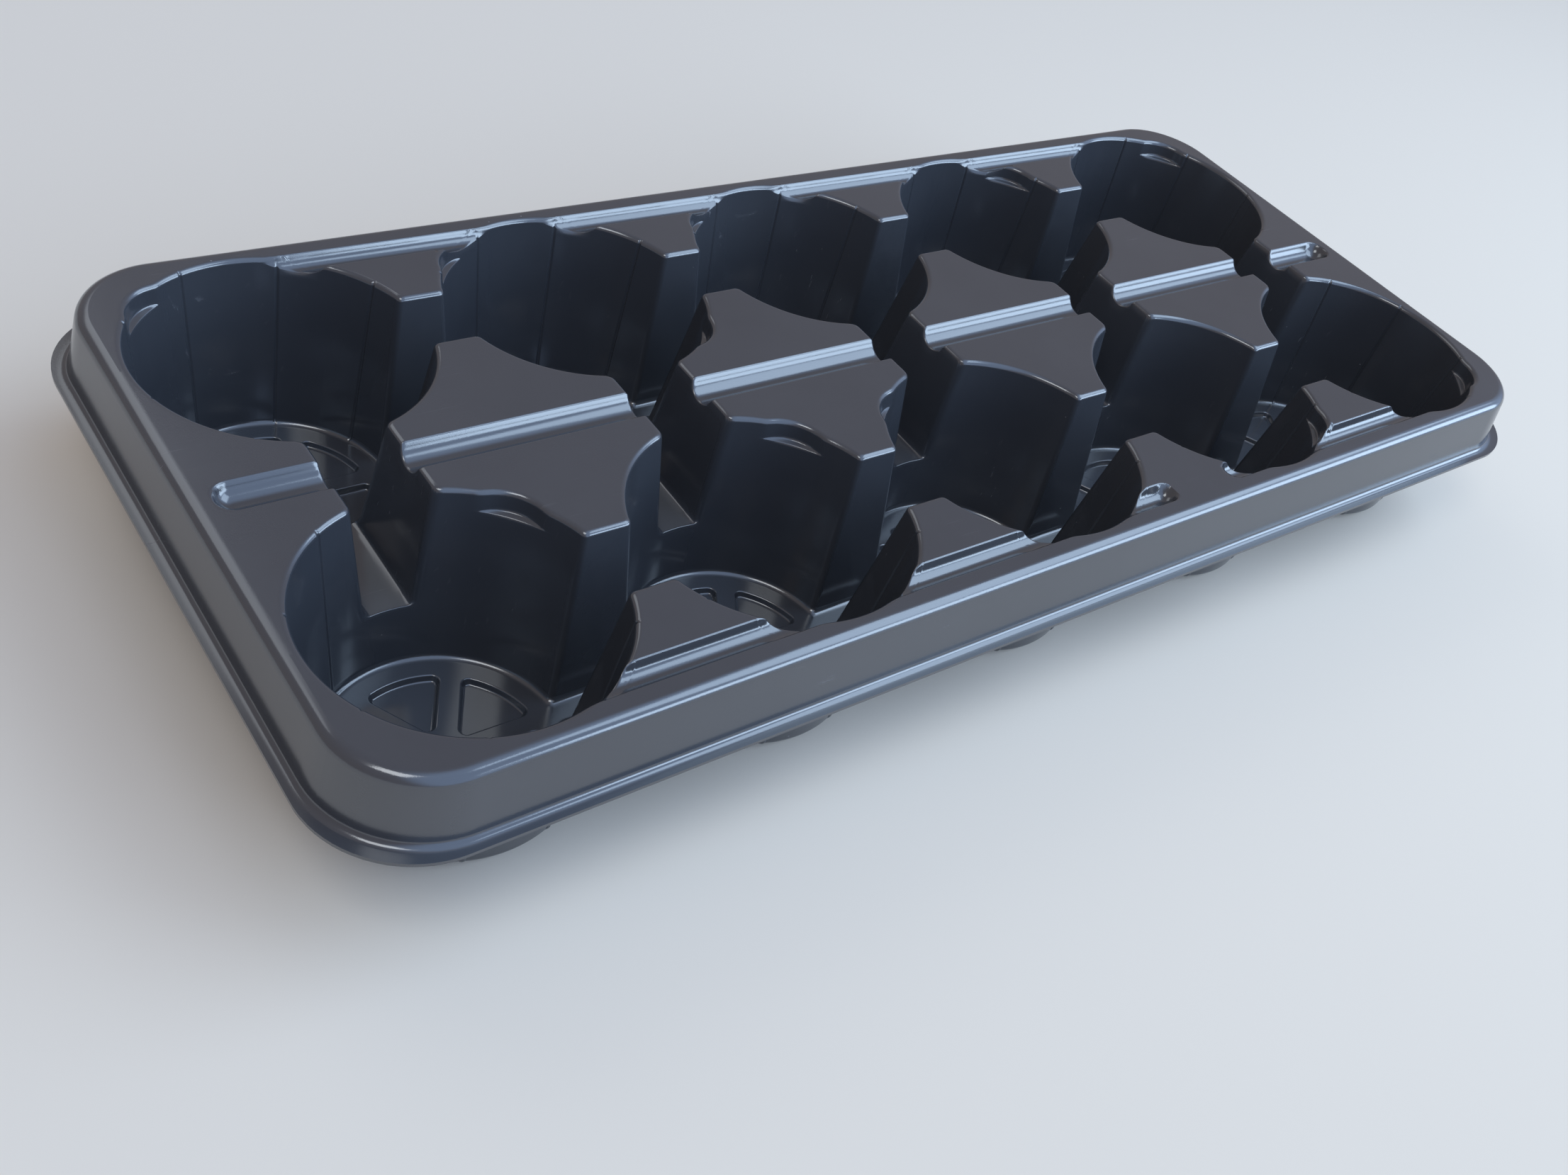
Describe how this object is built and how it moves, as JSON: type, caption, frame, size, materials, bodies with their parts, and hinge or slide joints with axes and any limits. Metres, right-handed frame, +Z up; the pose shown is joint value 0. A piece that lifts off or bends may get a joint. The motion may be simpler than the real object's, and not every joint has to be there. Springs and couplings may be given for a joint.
{
  "type": "pot carry tray",
  "caption": "Thermoformed black plastic tray with two rows of round drafted cells that hold plant pots for carrying and display.",
  "frame": {"origin": "under the middle of the tray, at the level of its feet", "axes": "+X along the rows of cells, +Y across the rows, +Z up"},
  "size_m": [0.5398, 0.2418, 0.0662],
  "materials": {
    "black_sheet": "satin black thermoformed sheet"
  },
  "bodies": {
    "root": {"cell_floor_front_1": "black_sheet", "cell_floor_front_2": "black_sheet", "cell_floor_front_3": "black_sheet", "cell_floor_front_4": "black_sheet", "cell_floor_front_5": "black_sheet", "cell_floor_back_1": "black_sheet", "cell_floor_back_2": "black_sheet", "cell_floor_back_3": "black_sheet", "cell_floor_back_4": "black_sheet", "cell_floor_back_5": "black_sheet", "centre_post_1": "black_sheet", "centre_post_2": "black_sheet", "centre_post_3": "black_sheet", "centre_post_4": "black_sheet", "side_post_front_1": "black_sheet", "side_post_front_2": "black_sheet", "side_post_front_3": "black_sheet", "side_post_front_4": "black_sheet", "side_post_back_1": "black_sheet", "side_post_back_2": "black_sheet", "side_post_back_3": "black_sheet", "side_post_back_4": "black_sheet", "end_tongue_left": "black_sheet", "end_tongue_right": "black_sheet", "corner_post_front_left": "black_sheet", "corner_post_front_right": "black_sheet", "corner_post_back_left": "black_sheet", "corner_post_back_right": "black_sheet", "saddle_1": "black_sheet", "saddle_2": "black_sheet", "saddle_3": "black_sheet", "saddle_4": "black_sheet", "saddle_5": "black_sheet", "rim_front": "black_sheet", "rim_back": "black_sheet", "rim_left": "black_sheet", "rim_right": "black_sheet", "rim_corner_front_left": "black_sheet", "rim_corner_front_right": "black_sheet", "rim_corner_back_left": "black_sheet", "rim_corner_back_right": "black_sheet"}
  },
  "joints": []
}
